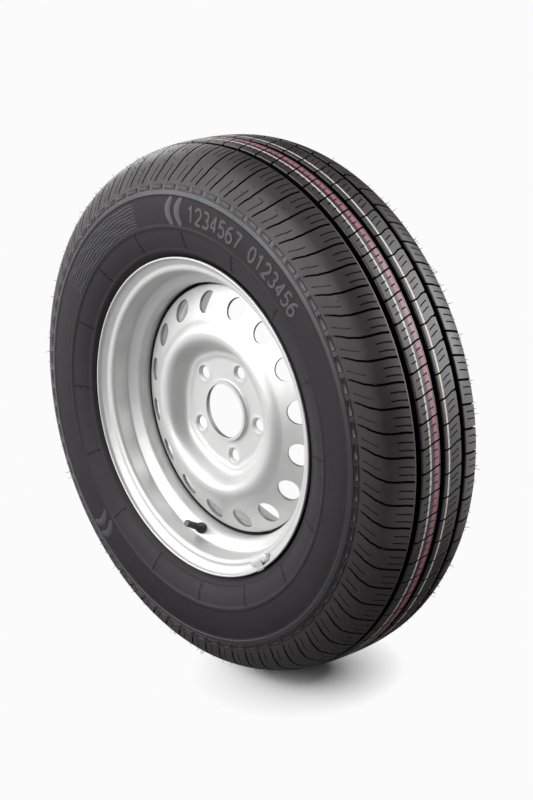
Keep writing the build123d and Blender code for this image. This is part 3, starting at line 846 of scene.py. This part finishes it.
def from_bolt(r, angle):
    """Distance from the nearest bolt's axis, by the law of cosines in the bolt's sector."""
    step = 360.0 / BOLTS
    aside = np.radians((angle - BOLT_ANGLE + step / 2) % step - step / 2)
    return np.sqrt(r**2 + BOLT_CIRCLE**2 - 2 * r * BOLT_CIRCLE * np.cos(aside))


def disc_front(r, angle):
    """y of the disc's front: a turned section, moved outwards by a lobe at each bolt.

    By the distance from the nearest bolt, a low ring rises round its hole and a conical seat sinks into it.
    """
    lobe = (0.5 + 0.5 * np.cos(np.radians((angle - BOLT_ANGLE) * BOLTS))) ** 1.6
    y = np.interp(r - LOBE_REACH * lobe * plateau(r, LOBE_ROWS), disc_line[:, 0], disc_line[:, 1])
    away = from_bolt(r, angle)
    boss = np.interp(away, BOSS_RADII, BOSS_RISE)
    seat = np.interp(away, [BOLT_HOLE, BOLT_SEAT], [SEAT_DEPTH, 0.0])
    boss_y = np.maximum(y - BOSS_HEIGHT, FLAT_FRONT - BOSS_HEIGHT)
    return np.minimum(y, boss_y * boss + y * (1 - boss)) + seat


def disc_ring(rows, start, twist=0.0):
    """A ring of the disc from rows of (radius, y), or radii alone, twisted from its first row to its last."""
    rows = np.asarray(rows, float)
    turn = np.linspace(0, 1, len(rows))[:, None] * twist
    angle = start + turn + np.arange(DISC_COLUMNS) * 360.0 / DISC_COLUMNS
    r = (rows if rows.ndim == 1 else rows[:, 0])[:, None] + 0 * angle
    y = disc_front(r, angle) if rows.ndim == 1 else rows[:, 1:] + 0 * angle
    return placed(r, y, angle).reshape(-1, 3), grid_quads(len(rows), DISC_COLUMNS, close_rows=False)


def holed_ring(ends, count, first, circle, half_out, half_round, scales, blends):
    """A ring of the disc with round holes: each sector has rings round its hole that become its sides.

    The first rings are the hole's outline times a scale. The others mix the last of them with the point on
    the sector's sides that lies in the same direction.
    """
    low, high = ends
    side, up = DISC_COLUMNS // count, 24
    span = 360.0 / count
    a = np.linspace(-0.5, 0.5, side, endpoint=False)
    climb = (high - low) * np.linspace(0, 1, up, endpoint=False)
    edge_a = np.concatenate([a, np.full(up, 0.5), -a, np.full(up, -0.5)]) * span
    edge_r = np.concatenate([np.full(side, low), low + climb, np.full(side, high), high - climb])
    toward = np.arctan2((edge_r - circle) / half_out, np.radians(edge_a) * circle / half_round)
    hole_a = np.degrees(half_round * np.cos(toward) / circle) * np.asarray(scales)[:, None]
    hole_r = circle + half_out * np.sin(toward) * np.asarray(scales)[:, None]
    t = np.linspace(0, 1, blends + 1)[1:, None]
    angle = np.vstack([hole_a, hole_a[-1] * (1 - t) + edge_a * t])
    r = np.vstack([hole_r, hole_r[-1] * (1 - t) + edge_r * t])
    angle = angle[None] + (first + span * np.arange(count))[:, None, None]
    r = np.broadcast_to(r[None], angle.shape)
    rings, around = angle.shape[1:]
    start = np.arange(count) * rings * around
    quads = grid_quads(rings, around, close_rows=False)[None] + start[:, None, None]
    return placed(r, disc_front(r, angle), angle).reshape(-1, 3), quads.reshape(-1, 4)[:, ::-1]


def disc_piece():
    """The disc: rings and holed rings joined into one sheet along its front, which then gets its thickness.

    Round each bolt hole the back is the flat mounting face, and the hole goes straight through to it.
    """
    column = 360.0 / DISC_COLUMNS
    bolt_start = BOLT_ANGLE - 180.0 / BOLTS
    vent_start = VENT_ANGLE - 180.0 / VENTS
    twist = (vent_start - bolt_start + column / 2) % column - column / 2
    bolt_scales = np.array([BOLT_HOLE, 8.5, BOLT_SEAT, 10.0, 10.4, *BOSS_RADII[1:]]) / BOLT_HOLE
    vent_out = VENT_RADIUS * np.cos(np.radians(VENT_TILT))
    vent_scales = [1.0, 1.04, 1.1]
    patches = [
        disc_ring(rounded_line(COLLAR_LINE, [1.6], 6), bolt_start),
        holed_ring(BOLT_RING, BOLTS, BOLT_ANGLE, BOLT_CIRCLE, BOLT_HOLE, BOLT_HOLE, bolt_scales, 6),
        disc_ring(np.linspace(BOLT_RING[1], VENT_RING[0], 34), bolt_start, twist),
        holed_ring(VENT_RING, VENTS, VENT_ANGLE, VENT_CIRCLE, vent_out, VENT_RADIUS, vent_scales, 4),
        disc_ring(rounded_line(EDGE_LINE, [2.6, 3.0, 3.0], 6), vent_start),
    ]
    start = np.cumsum([0] + [len(p) for p, _ in patches])
    points = np.vstack([p for p, _ in patches])
    quads = np.vstack([q + s for (_, q), s in zip(patches, start)])
    points, quads = weld(points, quads)
    x, _, z = points.T
    flat = from_bolt(np.hypot(x, z), np.degrees(np.arctan2(z, x))) < FLAT_BACK
    behind = points[flat] * [1, 0, 1] + [0, MOUNTING_FACE, 0]
    front_points, front_quads = len(points), len(quads)
    points, quads = shell(points, quads[:, ::-1], DISC_THICKNESS)
    points[front_points:][flat] = behind
    quads = facing_out(points, quads)
    disc = make_piece("wheel_disc", points, quads, silver_paint, "wheel", ("disc",))
    # painted shade on the cut edges: the walls of the holes, the outer edge and the hub bore get a darker
    # grey
    radius = np.hypot(points[quads, 0], points[quads, 2]).mean(1)
    wall = np.arange(len(quads)) >= 2 * front_quads
    second_finish(disc, edge_shade_paint, wall & (radius > COLLAR_REACH) | (radius < BORE_WALL))


def valve_frame():
    """Origin and axes of the valve, square on the well's sloping wall. The last axis is the valve's own."""
    t = np.radians(VALVE_ANGLE)
    radial = np.array([np.cos(t), 0, np.sin(t)])
    tilt = np.radians(VALVE_TILT)
    along = -np.sin(tilt) * radial - np.cos(tilt) * np.array([0, 1.0, 0])
    across = np.array([-np.sin(t), 0, np.cos(t)])
    well_radius, well_y = WELL_EDGE
    y = well_y - (VALVE_RADIUS - well_radius) * np.tan(tilt) - RIM_THICKNESS / np.cos(tilt)
    return VALVE_RADIUS * radial + np.array([0, y, 0]), across, np.cross(along, across), along


def valve_turned(name, section, columns, material, body, replaced, ripple=None):
    """A section of (radius, place) turned about the valve's axis. A ripple changes its radius on the way."""
    origin, u, v, w = valve_frame()
    turn = np.linspace(0, 2 * np.pi, columns, endpoint=False)
    r = section[:, 0, None] + (0 if ripple is None else ripple(section, turn))
    points = origin + r[..., None] * (np.cos(turn)[:, None] * u + np.sin(turn)[:, None] * v)
    points = (points + section[:, 1, None, None] * w).reshape(-1, 3)
    quads = facing_out(points, grid_quads(len(section), columns))
    make_piece(name, points, quads, material, body, replaced)


def valve_pieces():
    """Rubber valve body with a round bulb, and a cap with fine ribs round its side."""
    body = rounded_line(
        [
            (3.1, 20.0), (4.4, 20.0), (4.5, 12.6), (7.0, 4.0), (7.0, 0.2),
            (5.45, 0.2), (5.45, -3.0), (6.6, -3.0), (6.6, -7.6), (3.1, -7.6),
        ],
        [0.5, 3.0, 2.6, 0.8, 0.2, 0.2, 0.3, 1.5], 6,
    )
    valve_turned("valve_rubber_body", body, 48, black_rubber, "wheel", ("valve_body",))
    cap = rounded_line(
        [(3.95, 20.6), (4.3, 20.6), (4.3, 32.5), (0.05, 32.5), (0.05, 31.2), (3.95, 31.2)],
        [0.1, 0.9, 0.0, 0.1], 6,
    )

    def ribs(section, turn):
        r, place = section.T
        side = np.clip((r - 4.1) / 0.15, 0, 1) * ((place > 21.4) & (place < 31.6))
        return -CAP_RIB_DEPTH * side[:, None] * (np.cos(CAP_RIBS * turn) > 0.2)[None, :]

    valve_turned("valve_plastic_cap", cap, 144, black_plastic, "cap", ("valve_cap",), ribs)


def spring_piece():
    """The valve's spring: a round wire on a helix with close end turns."""
    foot, head, wire, radius = 16.85, 22.35, 0.2, 1.0
    close = 2.1 * wire
    turns = np.linspace(0, 5, 161)
    place = np.interp(turns, [0, 1, 4, 5], [foot, foot + close, head - close, head])
    origin, u, v, w = valve_frame()
    a = 2 * np.pi * turns[:, None]
    b = np.linspace(0, 2 * np.pi, 10, endpoint=False)
    out = (np.cos(a) * u + np.sin(a) * v)[:, None]
    points = origin + (radius + wire * np.cos(b))[:, None] * out
    points = (points + (place[:, None] + wire * np.sin(b))[..., None] * w).reshape(-1, 3)
    quads = facing_out(points, tube_quads(len(turns), len(b)))
    spring = make_piece("valve_coil_spring", points, quads, bright_steel, "wheel", ("valve_spring",))
    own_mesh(spring)


def weight_piece():
    """Balance weight: a rounded section carried round the flange, drawn in at both ends."""
    u = np.linspace(-1, 1, 41)
    v = np.linspace(0, 2 * np.pi, 28, endpoint=False)
    size = (0.25 + 0.75 * np.maximum(1 - np.abs(u) ** 8, 0.0) ** 0.5)[:, None]

    def squared(x):
        return np.sign(x) * np.abs(x) ** 0.55

    r = WEIGHT_PLACE[0] + size * WEIGHT_HALF[0] * squared(np.cos(v))
    y = WEIGHT_PLACE[1] + size * WEIGHT_HALF[1] * squared(np.sin(v))
    angle = WEIGHT_ANGLE + 0.5 * WEIGHT_ARC * u[:, None] + 0 * v
    points = placed(r, y, angle).reshape(-1, 3)
    quads = facing_out(points, tube_quads(len(u), len(v)))
    replaced = ("balance_weight",)
    make_piece("balance_weight_body", points, quads, weight_zinc, "wheel", replaced)


tread_piece()
casing_piece()
sidewall_marks()
hairs_piece()
rim_piece()
disc_piece()
valve_pieces()
spring_piece()
weight_piece()

plain = {
    "weld_beads": silver_paint, "valve_stem": brass, "valve_core": brass, "valve_pin": brass,
    "core_gasket": black_rubber, "valve_seal": black_rubber, "cap_seal": black_rubber,
    "balance_clip": bright_steel,
}
for node, material in plain.items():
    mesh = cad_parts[node].data
    mesh.materials.clear()
    mesh.materials.append(material)


# Stage

def floor_piece():
    """A pale floor: it takes the wheel's shadow near the foot, and is plain white further away."""
    f = Finish("pale_floor", (0.85, 0.85, 0.85), 0.9, specular=0.0)
    x, y, _ = f.axes()
    foot_x, foot_y = 0.085, 0.005
    near = f.length(f.math("SUBTRACT", x, foot_x), f.math("MULTIPLY", f.math("SUBTRACT", y, foot_y), 0.9))
    path = f.node("ShaderNodeLightPath")
    seen = path.outputs["Is Camera Ray"]
    mirrored = f.math("MAXIMUM", path.outputs["Is Glossy Ray"], path.outputs["Is Transmission Ray"])
    f.set("Base Color", f.mix(seen, (0.30, 0.30, 0.30), (0.93, 0.93, 0.93)))
    seen = f.math("MULTIPLY", seen, f.spread(near, 0.035, 0.125))
    mirrored = f.math("MULTIPLY", mirrored, f.spread(near, 0.40, 0.80))
    white = f.node("ShaderNodeEmission")
    white.inputs["Color"].default_value = (WHITE, WHITE, WHITE, 1)
    mixed = f.node("ShaderNodeMixShader")
    f.feed(mixed.inputs[0], f.math("MAXIMUM", seen, mirrored))
    f.feed(mixed.inputs[1], f.shader.outputs[0])
    f.feed(mixed.inputs[2], white.outputs[0])
    f.feed(f.tree.nodes["Material Output"].inputs["Surface"], mixed.outputs[0])
    mesh = bpy.data.meshes.new("floor")
    front, behind, aside = 0.68, 9.0, 8.0
    toward, across = np.array([0.5, -0.866]), np.array([0.866, 0.5])
    corners = [front * toward - aside * across, front * toward + aside * across]
    corners += [aside * across - behind * toward, -aside * across - behind * toward]
    mesh.from_pydata([(*corner, -TYRE_RADIUS * MM) for corner in corners], [], [(0, 1, 2, 3)])
    mesh.materials.append(f.material)
    floor = bpy.data.objects.new("floor", mesh)
    bpy.context.scene.collection.objects.link(floor)
    return floor


def softbox(name, place, aim, size, power):
    """A rectangular area lamp that looks at a point."""
    lamp = bpy.data.lights.new(name, "AREA")
    lamp.shape = "RECTANGLE"
    lamp.size, lamp.size_y = size
    lamp.energy = power
    box = bpy.data.objects.new(name, lamp)
    bpy.context.scene.collection.objects.link(box)
    box.location = place
    box.rotation_mode = "QUATERNION"
    box.rotation_quaternion = (Vector(aim) - Vector(place)).to_track_quat("-Z", "Y")
    return box


def studio(floor):
    """A dim room with five soft boxes in front and on the left, and three more that don't light the floor."""
    all_but_floor = bpy.data.collections.new("all_but_floor")
    all_but_floor.objects.link(floor)
    all_but_floor.collection_objects[0].light_linking.link_state = "EXCLUDE"
    world = bpy.data.worlds.new("studio")
    bpy.context.scene.world = world
    world.use_nodes = True
    tree = world.node_tree
    tree.nodes["Background"].inputs["Color"].default_value = (1, 1, 1, 1)
    level = tree.nodes.new("ShaderNodeMapRange")
    level.inputs["To Min"].default_value = ROOM_LIGHT
    level.inputs["To Max"].default_value = WHITE
    tree.links.new(tree.nodes.new("ShaderNodeLightPath").outputs["Is Camera Ray"], level.inputs["Value"])
    tree.links.new(level.outputs[0], tree.nodes["Background"].inputs["Strength"])
    softbox("high_left", (-2.0, -0.9, 1.5), (0, 0, 0), (3.0, 2.6), 33.0)
    softbox("front", (-0.6, -2.6, 1.0), (0, 0, 0), (3.0, 2.0), 82.0)
    softbox("high_front", (-0.4, -1.8, 2.2), (0, 0, 0), (2.4, 1.6), 11.0)
    softbox("far_left", (-2.4, 0.8, 0.7), (0, 0, 0), (1.6, 1.4), 25.0)
    softbox("low_left", (-1.8, -1.7, 0.45), (0, 0, 0.1), (1.4, 0.7), 14.0)
    for name, place, size, power in (
        ("overhead", (0.2, 0.5, 2.3), (2.6, 2.6), 10.0),
        ("back", (1.2, 1.85, 1.0), (2.4, 2.0), 68.0),
        ("right", (2.35, 0.45, 0.95), (1.4, 1.4), 5.0),
    ):
        softbox(name, place, (0, 0, 0), size, power).light_linking.receiver_collection = all_but_floor


def photo_camera():
    """The photograph's camera: its direction, distance and lens were fitted to the wheel's circles."""
    azimuth, elevation = radians(48.19), radians(18.66)
    distance, aside, above = 2487.6, 22.12, 5.02
    focal_pixels, long_side, sensor = 2051.6, 800.0, 36.0
    right = Vector((np.cos(azimuth), np.sin(azimuth), 0))
    level = np.cos(elevation)
    back = Vector((np.sin(azimuth) * level, -np.cos(azimuth) * level, np.sin(elevation)))
    up = back.cross(right)
    data = bpy.data.cameras.new("photo_camera")
    data.sensor_width = sensor
    data.lens = focal_pixels * sensor / long_side
    camera = bpy.data.objects.new("photo_camera", data)
    bpy.context.scene.collection.objects.link(camera)
    place = (aside * right + above * up + distance * back) * MM
    camera.matrix_world = Matrix.Translation(place) @ Matrix((right, up, back)).transposed().to_4x4()
    data.clip_end = 100.0
    bpy.context.scene.camera = camera


studio(floor_piece())
photo_camera()
bpy.context.scene.view_settings.view_transform = "Standard"
